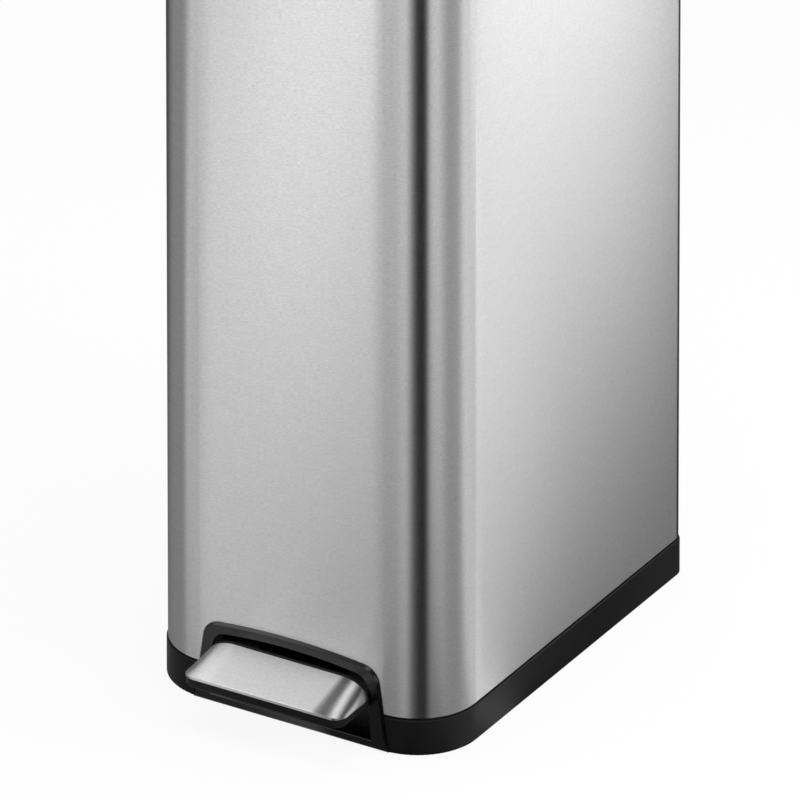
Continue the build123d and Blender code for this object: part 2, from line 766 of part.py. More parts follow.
# Pedal cover: a steel plate that slopes to the front, with edges bent down to the seam
pedal_fill = pedal_top(sheet)
edge_inside = pedal_edge_radius - pedal_edge_ease
edge_forward = pedal_reach - edge_inside
edge_height = pedal_front_top + edge_inside * (pedal_slope - (1 + pedal_slope**2) ** 0.5)
with BuildPart() as pedal_cover:
    add(pedal_top(0))
    add(pedal_fill, mode=Mode.SUBTRACT)
    # Front edge, rounded over from the slope to the upright
    with BuildSketch(Plane.YZ):
        with Locations((front_y - edge_forward, edge_height)):
            with Locations((-pedal_edge_radius / 4, 0)):
                Rectangle(2 * pedal_edge_radius, 2 * pedal_edge_radius, align=(Align.MAX, Align.MIN))
            Circle(pedal_edge_radius, mode=Mode.SUBTRACT)
    extrude(amount=pedal_half, both=True, mode=Mode.SUBTRACT)
pedal_cover.part.label = "pedal_cover"
export_step(pedal_cover.part, "parts/pedal_cover.step")

# Pedal core: a moulded slab with a rim behind the plate and a neck for the lever
with BuildPart() as pedal_core:
    with BuildSketch(front_plane(pedal_back)):
        add(pedal_profile(pedal_half - core_inset, pedal_back_top + pedal_rim_rise))
    extrude(amount=pedal_rim)
    rim_faces = pedal_core.faces().sort_by(Axis.Y)
    for rim_face in (rim_faces[0], rim_faces[-1]):
        fillet(rim_face.edges().sort_by(Axis.Z)[1:], pedal_rim_radius)
    with BuildSketch(Plane.XY.offset(pedal_bottom)) as slab_plan:
        with Locations((0, front_y - pedal_back)):
            Rectangle(
                2 * (pedal_half - core_inset),
                pedal_reach - core_inset - pedal_back,
                align=(Align.CENTER, Align.MAX),
            )
        fillet(slab_plan.vertices().group_by(Axis.Y)[0], pedal_corner - core_inset)
    extrude(amount=pedal_seam - pedal_bottom)
    chamfer(pedal_core.faces().sort_by(Axis.Z)[0].edges(), core_inset)
    add(pedal_fill)
    with BuildSketch(Plane.XY.offset(pedal_bottom)):
        with Locations((0, front_y - pedal_back)):
            Rectangle(
                2 * pedal_neck_half,
                pedal_back - pedal_neck_back,
                align=(Align.CENTER, Align.MIN),
            )
    extrude(amount=pedal_neck_top - pedal_bottom)
    with BuildSketch(lever_plane):
        with Locations((lever_front, lever_half_height)):
            Rectangle(lever_front, 4 * lever_half_height, align=(Align.MAX, Align.MAX))
    extrude(amount=lever_half_width, both=True, mode=Mode.SUBTRACT)
    for plane in pedal_screw_planes:
        with BuildSketch(plane):
            Circle(screw_radius)
        extrude(amount=pedal_screw_length, mode=Mode.SUBTRACT)
pedal_core.part.label = "pedal_core"
export_step(pedal_core.part, "parts/pedal_core.step")

# Screws from the lever's web into the pedal core
pedal_screws = screws(pedal_screw_planes, pedal_screw_length)
pedal_screws.label = "pedal_screws"
export_step(pedal_screws, "parts/pedal_screws.step")

# Pedal lever: a bent steel channel with two cheeks and a web on top
with BuildPart() as pedal_lever:
    with BuildSketch(lever_plane):
        with Locations((lever_front, 0)):
            Rectangle(lever_front + lever_rear, 2 * lever_half_height, align=(Align.MAX, Align.CENTER))
        Circle(lever_boss_radius)
        with Locations((-lever_rear, 0)):
            Circle(lever_boss_radius)
    extrude(amount=lever_half_width, both=True)
    cheek_inside = lever_half_width - lever_wall
    with BuildSketch(lever_plane):
        with Locations((0, lever_half_height - lever_wall)):
            Rectangle(4 * lever_rear, 4 * lever_rear, align=(Align.CENTER, Align.MAX))
    extrude(amount=cheek_inside, both=True, mode=Mode.SUBTRACT)
    web_gaps = ((-2 * lever_rear, -lever_web_rear), (-lever_boss_radius, lever_boss_radius))
    for rear_end, front_end in web_gaps:
        with BuildSketch(lever_plane):
            with Locations((front_end, 0)):
                Rectangle(front_end - rear_end, 4 * lever_boss_radius, align=(Align.MAX, Align.CENTER))
        extrude(amount=cheek_inside, both=True, mode=Mode.SUBTRACT)
    with BuildSketch(lever_plane):
        Circle(bush_radius)
        with Locations((-lever_rear, 0)):
            Circle(lever_pin_radius)
    extrude(amount=2 * lever_half_width, both=True, mode=Mode.SUBTRACT)
    for plane in pedal_screw_planes:
        with BuildSketch(plane):
            Circle(screw_radius)
        extrude(amount=lever_wall, mode=Mode.SUBTRACT)
pedal_lever.part.label = "pedal_lever"
export_step(pedal_lever.part, "parts/pedal_lever.step")

# Lever bushes: moulded rings in the lever's cheeks that turn on the axle
with BuildPart() as lever_bushes:
    for side in (-1, 1):
        with BuildSketch(lever_plane.offset(side * (cheek_inside - lever_wall))):
            Circle(bush_radius)
            Circle(axle_radius + running_clearance, mode=Mode.SUBTRACT)
        extrude(amount=side * 3 * lever_wall)
lever_bushes.part.label = "lever_bushes"
export_step(lever_bushes.part, "parts/lever_bushes.step")

# Lever pin: crosses the lever's rear end, under the lift rod
with BuildPart() as lever_pin:
    with BuildSketch(lever_plane):
        with Locations((-lever_rear, 0)):
            Circle(lever_pin_radius)
    extrude(amount=lever_half_width + lever_wall, both=True)
lever_pin.part.label = "lever_pin"
export_step(lever_pin.part, "parts/lever_pin.step")

# Lift rod, from its foot on the lever pin to its head on the crank pin
lever_pin_z = pivot_z - lever_rear * sin(radians(lever_tilt))
rod_bottom_z = lever_pin_z + foot_block_top - rod_socket
rod_top_z = crank_pin_z - head_half_z + rod_socket / 3
with BuildPart() as lift_rod:
    with BuildSketch(Plane.XY.offset(rod_bottom_z)):
        with Locations((0, rod_y)):
            Circle(rod_radius)
    extrude(amount=rod_top_z - rod_bottom_z)
lift_rod.part.label = "lift_rod"
export_step(lift_rod.part, "parts/lift_rod.step")

# Rod foot: a block with a level slot for the lever pin
with BuildPart() as rod_foot:
    with BuildSketch(Plane.XY.offset(lever_pin_z - foot_block_bottom)):
        with Locations((0, rod_y)):
            RectangleRounded(2 * head_half_x, 2 * head_half_x, rod_radius)
    extrude(amount=foot_block_bottom + foot_block_top)
    with BuildSketch(Plane(origin=(0, rod_y, lever_pin_z), x_dir=(0, 1, 0), z_dir=(1, 0, 0))):
        SlotOverall(foot_slot_length, foot_slot_height)
    extrude(amount=2 * head_half_x, both=True, mode=Mode.SUBTRACT)
    with BuildSketch(Plane.XY.offset(rod_bottom_z)):
        with Locations((0, rod_y)):
            Circle(rod_radius)
    extrude(amount=rod_socket, mode=Mode.SUBTRACT)
rod_foot.part.label = "rod_foot"
export_step(rod_foot.part, "parts/rod_foot.step")

# Rod head: a block with a level slot that the crank pin travels along
with BuildPart() as rod_head:
    with BuildSketch(Plane.XY.offset(crank_pin_z - head_half_z)):
        with Locations((0, rod_y)):
            RectangleRounded(2 * head_half_x, 2 * head_half_y, rod_radius)
    extrude(amount=2 * head_half_z)
    with BuildSketch(Plane(origin=(0, rod_y, crank_pin_z), x_dir=(0, 1, 0), z_dir=(1, 0, 0))):
        SlotOverall(head_slot_length, head_slot_height)
    extrude(amount=2 * head_half_x, both=True, mode=Mode.SUBTRACT)
    with BuildSketch(Plane.XY.offset(rod_top_z)):
        with Locations((0, rod_y)):
            Circle(rod_radius)
    extrude(amount=-rod_socket / 3, mode=Mode.SUBTRACT)
rod_head.part.label = "rod_head"
export_step(rod_head.part, "parts/rod_head.step")
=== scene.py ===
"""Looks of a slim pedal trash can: brushed steel, moulded black plastic and a small studio.

Lengths are in metres, in the part's own frame: +Z is up, -Y is to the front and +X is to the right.
"""

import logging
import math
from dataclasses import dataclass
from enum import Enum
from typing import Protocol

import bpy
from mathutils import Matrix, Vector


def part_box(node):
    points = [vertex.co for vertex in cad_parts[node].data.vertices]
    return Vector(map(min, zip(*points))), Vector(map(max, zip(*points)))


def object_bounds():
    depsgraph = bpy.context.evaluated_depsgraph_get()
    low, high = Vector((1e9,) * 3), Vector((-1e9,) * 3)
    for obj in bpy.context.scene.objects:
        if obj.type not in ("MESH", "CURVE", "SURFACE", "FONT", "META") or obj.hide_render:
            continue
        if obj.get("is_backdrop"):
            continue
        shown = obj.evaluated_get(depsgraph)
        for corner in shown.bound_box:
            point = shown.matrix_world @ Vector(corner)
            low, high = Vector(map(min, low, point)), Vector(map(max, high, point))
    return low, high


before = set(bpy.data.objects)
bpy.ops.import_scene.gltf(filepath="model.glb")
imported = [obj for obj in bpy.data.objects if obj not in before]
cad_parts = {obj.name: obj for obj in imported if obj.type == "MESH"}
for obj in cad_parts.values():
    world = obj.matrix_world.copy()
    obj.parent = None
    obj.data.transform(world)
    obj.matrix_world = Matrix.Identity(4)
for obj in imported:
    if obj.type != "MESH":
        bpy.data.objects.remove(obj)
log = logging.getLogger("trash_can")

PHOTO_PIXELS = 800

# Outer radius of the steel wrap's two front bends.
BEND_RADIUS = 0.048

# Most of a noise texture's values lie between these two.
NOISE_LOW = 0.3
NOISE_HIGH = 0.7

# Where a Mix node keeps its two colours and its result. Their names aren't unique.
MIX_LOW = 6
MIX_HIGH = 7
MIX_RESULT = 2

WHITE = (1.0, 1.0, 1.0, 1.0)

Colour = tuple[float, float, float]
Place = tuple[float, float, float]
Node = bpy.types.Node
Socket = bpy.types.NodeSocket


class Brushing(Enum):
    """Which way the lines of a brushed sheet run."""

    LEVEL = "level round the walls and left to right on top"
    ACROSS = "left to right over the whole piece"


class Rise(Enum):
    """How a value runs from one end of its range to the other."""

    STRAIGHT = "LINEAR"
    SOFT = "SMOOTHSTEP"


class Glow(Enum):
    """What shines by itself."""

    SURFACE = "ShaderNodeEmission"
    BACKDROP = "ShaderNodeBackground"


class Graph:
    """A material's or the world's node tree, with short calls to add and join nodes."""

    def __init__(self, tree: bpy.types.NodeTree) -> None:
        """Empty the tree and keep it."""
        self.tree = tree
        tree.nodes.clear()

    def add(self, kind: str, **settings: object) -> Node:
        """Add a node.

        Args:
            kind: the node's type name.
            settings: properties of the node, by name.

        Returns:
            The new node.
        """
        node = self.tree.nodes.new(kind)
        for name, value in settings.items():
            setattr(node, name, value)
        return node

    def join(self, source: Socket, target: Socket) -> None:
        """Link an output socket to an input socket."""
        self.tree.links.new(source, target)

    def feed(self, target: Socket, value: object) -> None:
        """Give an input socket what it works on.

        Args:
            target: the input socket.
            value: a number or colour to set, or an output socket to link.
        """
        if isinstance(value, Socket):
            self.join(value, target)
        else:
            target.default_value = value

    def math(self, operation: str, *values: object) -> Socket:
        """Add a math node.

        Args:
            operation: the name of the operation, in capitals.
            values: numbers or output sockets, in the order of the node's inputs.

        Returns:
            The node's output socket.
        """
        node = self.add("ShaderNodeMath", operation=operation)
        for target, value in zip(node.inputs, values):
            self.feed(target, value)
        return node.outputs[0]

    def vector(self, *values: object) -> Socket:
        """Join three values into a vector.

        Args:
            values: numbers or output sockets, along X, Y and Z.

        Returns:
            The vector's socket.
        """
        node = self.add("ShaderNodeCombineXYZ")
        for target, value in zip(node.inputs, values):
            self.feed(target, value)
        return node.outputs[0]

    def split(self, vector: Socket) -> Node:
        """Take a vector apart.

        Args:
            vector: the vector's socket.

        Returns:
            The node whose outputs X, Y and Z are the vector's shares.
        """
        node = self.add("ShaderNodeSeparateXYZ")
        self.join(vector, node.inputs[0])
        return node

    def noise(self, place: Socket, scale: float, detail: float = 2.0) -> Socket:
        """Add a noise texture.

        Args:
            place: the socket of the place to read it at.
            scale: waves per unit of the place.
            detail: how many finer layers it has.

        Returns:
            The socket of the noise.
        """
        node = self.add("ShaderNodeTexNoise")
        node.inputs["Scale"].default_value = scale
        node.inputs["Detail"].default_value = detail
        self.join(place, node.inputs["Vector"])
        return node.outputs[0]

    def remap(
        self, value: Socket, start: float, end: float, low: float, high: float, rise: Rise = Rise.STRAIGHT
    ) -> Socket:
        """Carry a value over from one range to another, held at both ends.

        Args:
            value: the socket of the value.
            start: the value that gives low.
            end: the value that gives high.
            low: the result at the start.
            high: the result at the end.
            rise: how the result runs between them.

        Returns:
            The socket of the result.
        """
        node = self.add("ShaderNodeMapRange", interpolation_type=rise.value)
        limits = {"From Min": start, "From Max": end, "To Min": low, "To Max": high}
        for name, limit in limits.items():
            node.inputs[name].default_value = limit
        self.join(value, node.inputs["Value"])
        return node.outputs[0]

    def spread(self, noise: Socket, low: float, high: float) -> Socket:
        """Stretch a noise to run from low to high."""
        return self.remap(noise, NOISE_LOW, NOISE_HIGH, low, high)

    def step(self, value: Socket, start: float, end: float) -> Socket:
        """Rise softly from 0 to 1 while a value goes from start to end."""
        return self.remap(value, start, end, 0.0, 1.0, Rise.SOFT)

    def blend(self, share: Socket, low: object, high: object) -> Socket:
        """Mix two colours.

        Args:
            share: the socket of the second colour's share, from 0 to 1.
            low: the first colour, or the socket of a colour or a tone.
            high: the second one.

        Returns:
            The colour's socket.
        """
        node = self.add("ShaderNodeMix", data_type="RGBA")
        self.join(share, node.inputs["Factor"])
        self.feed(node.inputs[MIX_LOW], low)
        self.feed(node.inputs[MIX_HIGH], high)
        return node.outputs[MIX_RESULT]

    def tint(self, noise: Socket, dark: Colour, light: Colour) -> Socket:
        """Let a colour wander between two, as a noise does, and return its socket."""
        return self.blend(self.spread(noise, 0.0, 1.0), (*dark, 1.0), (*light, 1.0))

    def bump(self, height: Socket, depth: float = 1.0) -> Socket:
        """Turn a height into a normal.

        Args:
            height: the socket of the height.
            depth: how many metres a height of 1 stands for.

        Returns:
            The normal's socket.
        """
        node = self.add("ShaderNodeBump")
        node.inputs["Strength"].default_value = 1.0
        node.inputs["Distance"].default_value = depth
        self.join(height, node.inputs["Height"])
        return node.outputs[0]

    def glow(self, kind: Glow, colour: object, strength: float = 1.0) -> Node:
        """Add a shader that shines by itself.

        Args:
            kind: what shines.
            colour: the colour, or the socket of a colour or a tone.
            strength: how many times the colour it shines.

        Returns:
            The shader's node.
        """
        node = self.add(kind.value)
        self.feed(node.inputs["Color"], colour)
        node.inputs["Strength"].default_value = strength
        return node

    def choose(self, share: Socket, usual: Node, chosen: Node) -> Node:
        """Swap one shader for another.

        Args:
            share: the socket of the share, 0 for the usual shader and 1 for the chosen one.
            usual: the node of the usual shader.
            chosen: the node of the chosen shader.

        Returns:
            The node that shows them.
        """
        node = self.add("ShaderNodeMixShader")
        self.join(share, node.inputs["Fac"])
        self.join(usual.outputs[0], node.inputs[1])
        self.join(chosen.outputs[0], node.inputs[2])
        return node


def new_material(name: str) -> tuple[bpy.types.Material, Graph, Node]:
    """Make an empty node material.

    Args:
        name: the material's name.

    Returns:
        The material, its graph and its output node.
    """
    material = bpy.data.materials.new(name)
    material.use_nodes = True
    graph = Graph(material.node_tree)
    return material, graph, graph.add("ShaderNodeOutputMaterial")


def new_finish(name: str) -> tuple[bpy.types.Material, Graph, Node]:
    """Make the material of a piece of the can.

    Args:
        name: the material's name.

    Returns:
        The material, its graph and its Principled shader, joined to the output.
    """
    material, graph, output = new_material(name)
    shader = graph.add("ShaderNodeBsdfPrincipled")
    graph.join(shader.outputs["BSDF"], output.inputs["Surface"])
    return material, graph, shader


def bend_axis() -> tuple[float, float]:
    """Find the upright axis of the steel wrap's right front bend.

    Returns:
        Its place along X and Y.
    """
    low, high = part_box("outer_shell")
    return high.x - BEND_RADIUS, low.y + BEND_RADIUS


class Relief(Protocol):
    """A shallow form of a sheet that the shading adds to its mesh."""

    def drop(self, graph: Graph, axes: Node) -> Socket:
        """Give the socket of the drop below the mesh, in metres."""


@dataclass(frozen=True)
class SoftCorners:
    """The soft run of the flat walls into the wrap's bent front corners."""

    axis: tuple[float, float]
    depth: float
    reach: float

    def drop(self, graph: Graph, axes: Node) -> Socket:
        """Bend the sheet evenly on both sides of each line where a bend begins.

        Args:
            graph: the material's graph.
            axes: the node that gives the place on the sheet.

        Returns:
            The socket of the drop in metres.
        """
        right, rear = self.axis
        across = (graph.math("ABSOLUTE", axes.outputs["X"]), right)
        forward = (graph.math("MULTIPLY", axes.outputs["Y"], -1.0), -rear)
        shares = []
        for value, start in (across, forward):
            beyond = graph.math("DIVIDE", graph.math("SUBTRACT", value, start), self.reach)
            near = graph.math("SUBTRACT", 1.0, graph.math("MINIMUM", graph.math("ABSOLUTE", beyond), 1.0))
            share = graph.math("SUBTRACT", 1.0, graph.math("POWER", near, 3.0))
            shares.append(graph.math("MULTIPLY", graph.math("SIGN", beyond), share))
        return graph.math("MULTIPLY", graph.math("ADD", *shares), self.depth)


@dataclass(frozen=True)
class RolledEnds:
    """The extra roll of the tread plate's two ends, from none at its back to most at its front."""

    start: float
    rate: float
    front: float
    back: float

    def drop(self, graph: Graph, axes: Node) -> Socket:
        """Ease the plate's ends down, so that they catch the light early.

        Args:
            graph: the material's graph.
            axes: the node that gives the place on the plate.

        Returns:
            The socket of the drop in metres.
        """
        outward = graph.math("SUBTRACT", graph.math("ABSOLUTE", axes.outputs["X"]), self.start)
        beyond = graph.math("MAXIMUM", outward, 0.0)
        rate = graph.remap(axes.outputs["Y"], self.back, self.front, 0.0, self.rate)
        return graph.math("MULTIPLY", rate, graph.math("MULTIPLY", beyond, beyond))


class Finish(Protocol):
    """What every finish offers: a name and a way to build its material."""

    name: str

    def material(self) -> bpy.types.Material:
        """Build the node material."""


@dataclass(frozen=True)
class BrushedSteel:
    """Stainless sheet with fine brushing lines, drawn by a fine noise and a broad one.

    A sheet counts as lying where its normal's share along +Z is above lying_from.
    """

    name: str
    brushing: Brushing
    reliefs: tuple[Relief, ...] = ()
    dark: Colour = (0.626, 0.625, 0.625)
    light: Colour = (0.781, 0.780, 0.779)
    roughness: float = 0.34
    roughness_swing: float = 0.03
    anisotropy: float = 1.0
    line_length: float = 0.0032
    line_pitch: float = 0.001
    line_depth: float = 0.000002
    fine_detail: float = 3.0
    broad_scale: float = 0.21
    broad_share: float = 0.2
    lying_from: float = 0.7

    def line_place(self, graph: Graph, axes: Node, lying: Socket, standing: Socket) -> Socket:
        """Measure the sheet along and across its brushing.

        Args:
            graph: the material's graph.
            axes: the node that gives the place on the sheet.
            lying: the socket that is 1 where the sheet lies, and 0 elsewhere.
            standing: the socket that is 1 where the sheet stands, and 0 elsewhere.

        Returns:
            The socket of the place, counted in line lengths and line pitches.
        """
        if self.brushing is Brushing.LEVEL:
            along = graph.math("ADD", axes.outputs["X"], axes.outputs["Y"])
            over_top = graph.math("MULTIPLY", axes.outputs["Y"], lying)
            across = graph.math("MULTIPLY_ADD", axes.outputs["Z"], standing, over_top)
        else:
            along = axes.outputs["X"]
            across = graph.math("ADD", axes.outputs["Y"], axes.outputs["Z"])
        lengths = graph.math("DIVIDE", along, self.line_length)
        return graph.vector(lengths, graph.math("DIVIDE", across, self.line_pitch), 0.0)

    def material(self) -> bpy.types.Material:
        """Build the node material of the sheet.

        Returns:
            The material.
        """
        material, graph, shader = new_finish(self.name)
        sheet = graph.add("ShaderNodeTexCoord")
        axes = graph.split(sheet.outputs["Object"])
        facing = graph.split(sheet.outputs["Normal"])
        lying = graph.math("GREATER_THAN", facing.outputs["Z"], self.lying_from)
        standing = graph.math("SUBTRACT", 1.0, lying)
        lines = self.line_place(graph, axes, lying, standing)
        fine = graph.noise(lines, 1.0, self.fine_detail)
        broad = graph.noise(lines, self.broad_scale)
        fine_part = graph.math("MULTIPLY", fine, 1.0 - self.broad_share)
        both = graph.math("MULTIPLY_ADD", broad, self.broad_share, fine_part)
        graph.join(graph.tint(both, self.dark, self.light), shader.inputs["Base Color"])
        swing = self.roughness_swing
        rough = graph.spread(fine, self.roughness + swing, self.roughness - swing)
        graph.join(rough, shader.inputs["Roughness"])
        height = graph.math("MULTIPLY", fine, self.line_depth)
        for relief in self.reliefs:
            height = graph.math("SUBTRACT", height, relief.drop(graph, axes))
        graph.join(graph.bump(height), shader.inputs["Normal"])
        crosswise = graph.add("ShaderNodeVectorTransform", convert_from="OBJECT", convert_to="WORLD")
        graph.join(graph.vector(0.0, lying, standing), crosswise.inputs[0])
        graph.join(crosswise.outputs[0], shader.inputs["Tangent"])
        shader.inputs["Metallic"].default_value = 1.0
        shader.inputs["Anisotropic"].default_value = self.anisotropy
        return material


@dataclass(frozen=True)
class MouldedPlastic:
    """Moulded plastic with a fine spark-eroded grain and slow changes where it flowed."""

    name: str
    dark: Colour
    light: Colour
    roughness: float
    roughness_swing: float = 0.05
    gloss: float = 0.4
    grain_size: float = 0.0007
    grain_depth: float = 0.00002
    flow_size: float = 0.09
    flow_detail: float = 4.0

    def material(self) -> bpy.types.Material:
        """Build the node material of the moulding.

        Returns:
            The material.
        """
        material, graph, shader = new_finish(self.name)
        place = graph.add("ShaderNodeTexCoord").outputs["Object"]
        grain = graph.noise(place, 1.0 / self.grain_size)
        flow = graph.noise(place, 1.0 / self.flow_size, self.flow_detail)
        graph.join(graph.tint(flow, self.dark, self.light), shader.inputs["Base Color"])
        swing = self.roughness_swing
        rough = graph.spread(flow, self.roughness - swing, self.roughness + swing)
        graph.join(rough, shader.inputs["Roughness"])
        graph.join(graph.bump(grain, self.grain_depth), shader.inputs["Normal"])
        shader.inputs["Specular IOR Level"].default_value = self.gloss
        return material


@dataclass(frozen=True)
class PlatedSteel:
    """Zinc-plated steel with a slightly mottled gloss."""

    name: str
    dark: Colour = (0.48, 0.49, 0.50)
    light: Colour = (0.66, 0.67, 0.68)
    dull_roughness: float = 0.35
    bright_roughness: float = 0.22
    mottle_size: float = 0.004
    mottle_detail: float = 5.0

    def material(self) -> bpy.types.Material:
        """Build the node material of the plating.

        Returns:
            The material.
        """
        material, graph, shader = new_finish(self.name)
        place = graph.add("ShaderNodeTexCoord").outputs["Object"]
        mottle = graph.noise(place, 1.0 / self.mottle_size, self.mottle_detail)
        graph.join(graph.tint(mottle, self.dark, self.light), shader.inputs["Base Color"])
        rough = graph.spread(mottle, self.dull_roughness, self.bright_roughness)
        graph.join(rough, shader.inputs["Roughness"])
        shader.inputs["Metallic"].default_value = 1.0
        return material


SATIN_BLACK = MouldedPlastic(
    "satin_black", dark=(0.0075, 0.0075, 0.0075), light=(0.0105, 0.0105, 0.0103), roughness=0.36, gloss=0.2
)
# Partly painted shade: the surround's glossy black is its own, but its colour is set darker to stand in
# for the shade on its front face and in its recess.
DEEP_BLACK_PAINTED_SHADE = MouldedPlastic(
    "deep_black_painted_shade", dark=(0.0015, 0.0015, 0.0015), light=(0.003, 0.003, 0.003), roughness=0.24, gloss=0.7
)
SOFT_RUBBER = MouldedPlastic(
    "soft_rubber", dark=(0.018, 0.018, 0.018), light=(0.03, 0.03, 0.03), roughness=0.75
)
GREY_MOULDING = MouldedPlastic(
    "grey_moulding", dark=(0.20, 0.20, 0.205), light=(0.26, 0.26, 0.26), roughness=0.5
)
BUCKET_MOULDING = MouldedPlastic(
    "bucket_moulding", dark=(0.035, 0.035, 0.036), light=(0.05, 0.05, 0.05), roughness=0.5
)
ZINC_PLATE = PlatedSteel("zinc_plate")


@dataclass
class SubAssembly:
    """Pieces of the can that belong together, each with its finish."""

    def finishes(self) -> dict[str, Finish]:
        """Give the finish of every piece, by the piece's name."""
        raise NotImplementedError

    def dress(self) -> None:
        """Put its finish on every piece of the group and log it."""
        for name, finish in self.finishes().items():
            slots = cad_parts[name].data.materials
            slots.clear()
            slots.append(bpy.data.materials.get(finish.name) or finish.material())
            log.info("%s %s: %s", type(self).__name__, name, finish.name)


@dataclass
class SteelSkin(SubAssembly):
    """The wrap round the walls and the lid's shell."""

    corner_depth: float = 0.00034
    corner_reach: float = 0.014

    def finishes(self) -> dict[str, Finish]:
        """Brush both sheets level, and ease the wrap's bends.

        Returns:
            The finish of every piece, by the piece's name.
        """
        corners = SoftCorners(bend_axis(), self.corner_depth, self.corner_reach)
        wrap = BrushedSteel("brushed_wrap", Brushing.LEVEL, (corners,))
        return {"outer_shell": wrap, "lid_shell": BrushedSteel("brushed_lid", Brushing.LEVEL)}


@dataclass
class MouldedBody(SubAssembly):
    """The black mouldings that hold the steel, and what stands or closes on them."""

    frames: MouldedPlastic = SATIN_BLACK
    surround: MouldedPlastic = DEEP_BLACK_PAINTED_SHADE
    pads: MouldedPlastic = SOFT_RUBBER

    def finishes(self) -> dict[str, Finish]:
        """Make the mouldings satin, the pedal's surround glossy and darker with painted shade, and the
        pads soft.

        Returns:
            The finish of every piece, by the piece's name.
        """
        found = dict.fromkeys(("base", "rear_panel", "top_collar", "lid_liner"), self.frames)
        found["pedal_surround"] = self.surround
        return found | dict.fromkeys(("feet", "lid_bumpers"), self.pads)


@dataclass
class Pedal(SubAssembly):
    """The tread plate on its moulded core, and the lever that carries them."""

    roll_start: float = 0.041
    roll_rate: float = 5.8
    core: MouldedPlastic = SATIN_BLACK
    bushes: MouldedPlastic = GREY_MOULDING
    plating: PlatedSteel = ZINC_PLATE

    def finishes(self) -> dict[str, Finish]:
        """Brush the tread from left to right and roll its ends.

        Returns:
            The finish of every piece, by the piece's name.
        """
        low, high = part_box("pedal_cover")
        ends = RolledEnds(self.roll_start, self.roll_rate, low.y, high.y)
        tread = BrushedSteel("brushed_tread", Brushing.ACROSS, (ends,))
        found = {"pedal_cover": tread, "pedal_core": self.core, "lever_bushes": self.bushes}
        return found | dict.fromkeys(("pedal_lever", "lever_pin", "pedal_axle"), self.plating)


@dataclass
class Linkage(SubAssembly):
    """The lift rod with its ends and guides, and the pins it works on."""

    blocks: MouldedPlastic = GREY_MOULDING
    plating: PlatedSteel = ZINC_PLATE

    def finishes(self) -> dict[str, Finish]:
        """Mould the blocks in grey and plate the rod and pins.

        Returns:
            The finish of every piece, by the piece's name.
        """
        moulded = ("axle_blocks", "rod_guide_lower", "rod_guide_upper", "rod_foot", "rod_head")
        plated = ("lift_rod", "crank_pin", "hinge_pin")
        return dict.fromkeys(moulded, self.blocks) | dict.fromkeys(plated, self.plating)


@dataclass
class Bucket(SubAssembly):
    """The lift-out bucket and the cover that it stands on."""

    pail: MouldedPlastic = BUCKET_MOULDING
    cover: MouldedPlastic = GREY_MOULDING

    def finishes(self) -> dict[str, Finish]:
        """Give the finish of every piece, by the piece's name."""
        return {"inner_bucket": self.pail, "mechanism_cover": self.cover}


@dataclass
class Fasteners(SubAssembly):
    """The screws, one node for each place they hold."""

    plating: PlatedSteel = ZINC_PLATE

    def finishes(self) -> dict[str, Finish]:
        """Give the finish of every piece, by the piece's name."""
        groups = ("cover", "panel", "axle", "guide", "pedal")
        return {f"{group}_screws": self.plating for group in groups}


@dataclass
class Camera:
    """A far camera with a long lens, so that upright edges stay parallel.

    Angles are in degrees, and lens and sensor in millimetres.
    """

    azimuth: float = 30.964
    elevation: float = 28.806
    lens: float = 1690.0
    sensor: float = 36.0
    pixels_per_metre: float = 1400.14
    aim_right: float = 0.0908
    aim_height: float = 0.2916

    def build(self) -> None:
        """Place the camera so that the photo's middle falls on the aim point of the front face."""
        data = bpy.data.cameras.new("camera")
        data.lens = self.lens
        data.sensor_width = self.sensor
        distance = self.lens / self.sensor * PHOTO_PIXELS / self.pixels_per_metre
        data.clip_end = 2 * distance
        camera = bpy.data.objects.new("camera", data)
        bpy.context.scene.collection.objects.link(camera)
        turn = math.radians(self.azimuth)
        lift = math.radians(self.elevation)
        back = Vector((math.sin(turn) * math.cos(lift), -math.cos(turn) * math.cos(lift), math.sin(lift)))
        aim = Vector((self.aim_right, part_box("outer_shell")[0].y, self.aim_height))
        camera.location = aim + back * distance
        camera.rotation_euler = (-back).to_track_quat("-Z", "Y").to_euler()
        bpy.context.scene.camera = camera


@dataclass(frozen=True)
class Softbox:
    """A studio light that points at its aim. Its radiance is that of its face."""

    name: str
    place: Place
    aim: Place
    width: float
    height: float
    radiance: float
    mirrored: bool = True

    def build(self) -> None:
        """Make the light and point it at its aim."""
        data = bpy.data.lights.new(self.name, "AREA")
        data.shape = "RECTANGLE"
        data.size = self.width
        data.size_y = self.height
        data.energy = self.radiance * math.pi * self.width * self.height
        light = bpy.data.objects.new(self.name, data)
        bpy.context.scene.collection.objects.link(light)
        light.visible_glossy = self.mirrored
        light.location = self.place
        light.rotation_euler = (Vector(self.aim) - Vector(self.place)).to_track_quat("-Z", "Y").to_euler()


@dataclass(frozen=True)
class Panel:
    """An upright panel or a stretch of floor that steel mirrors, with soft edges.

    Angles are in degrees round the can, from straight ahead and positive to the right.
    """

    name: str
    start: float
    end: float
    tone: float
    start_edge: float
    end_edge: float

    def shine(self, graph: Graph, degrees: Socket) -> Socket:
        """Give the panel's tone in a direction.

        Args:
            graph: the graph to add to.
            degrees: the socket of the direction.

        Returns:
            The socket of the tone.
        """
        rise = graph.step(degrees, self.start - self.start_edge / 2, self.start + self.start_edge / 2)
        fall = graph.step(degrees, self.end - self.end_edge / 2, self.end + self.end_edge / 2)
        return graph.math("MULTIPLY", graph.math("SUBTRACT", rise, fall), self.tone)


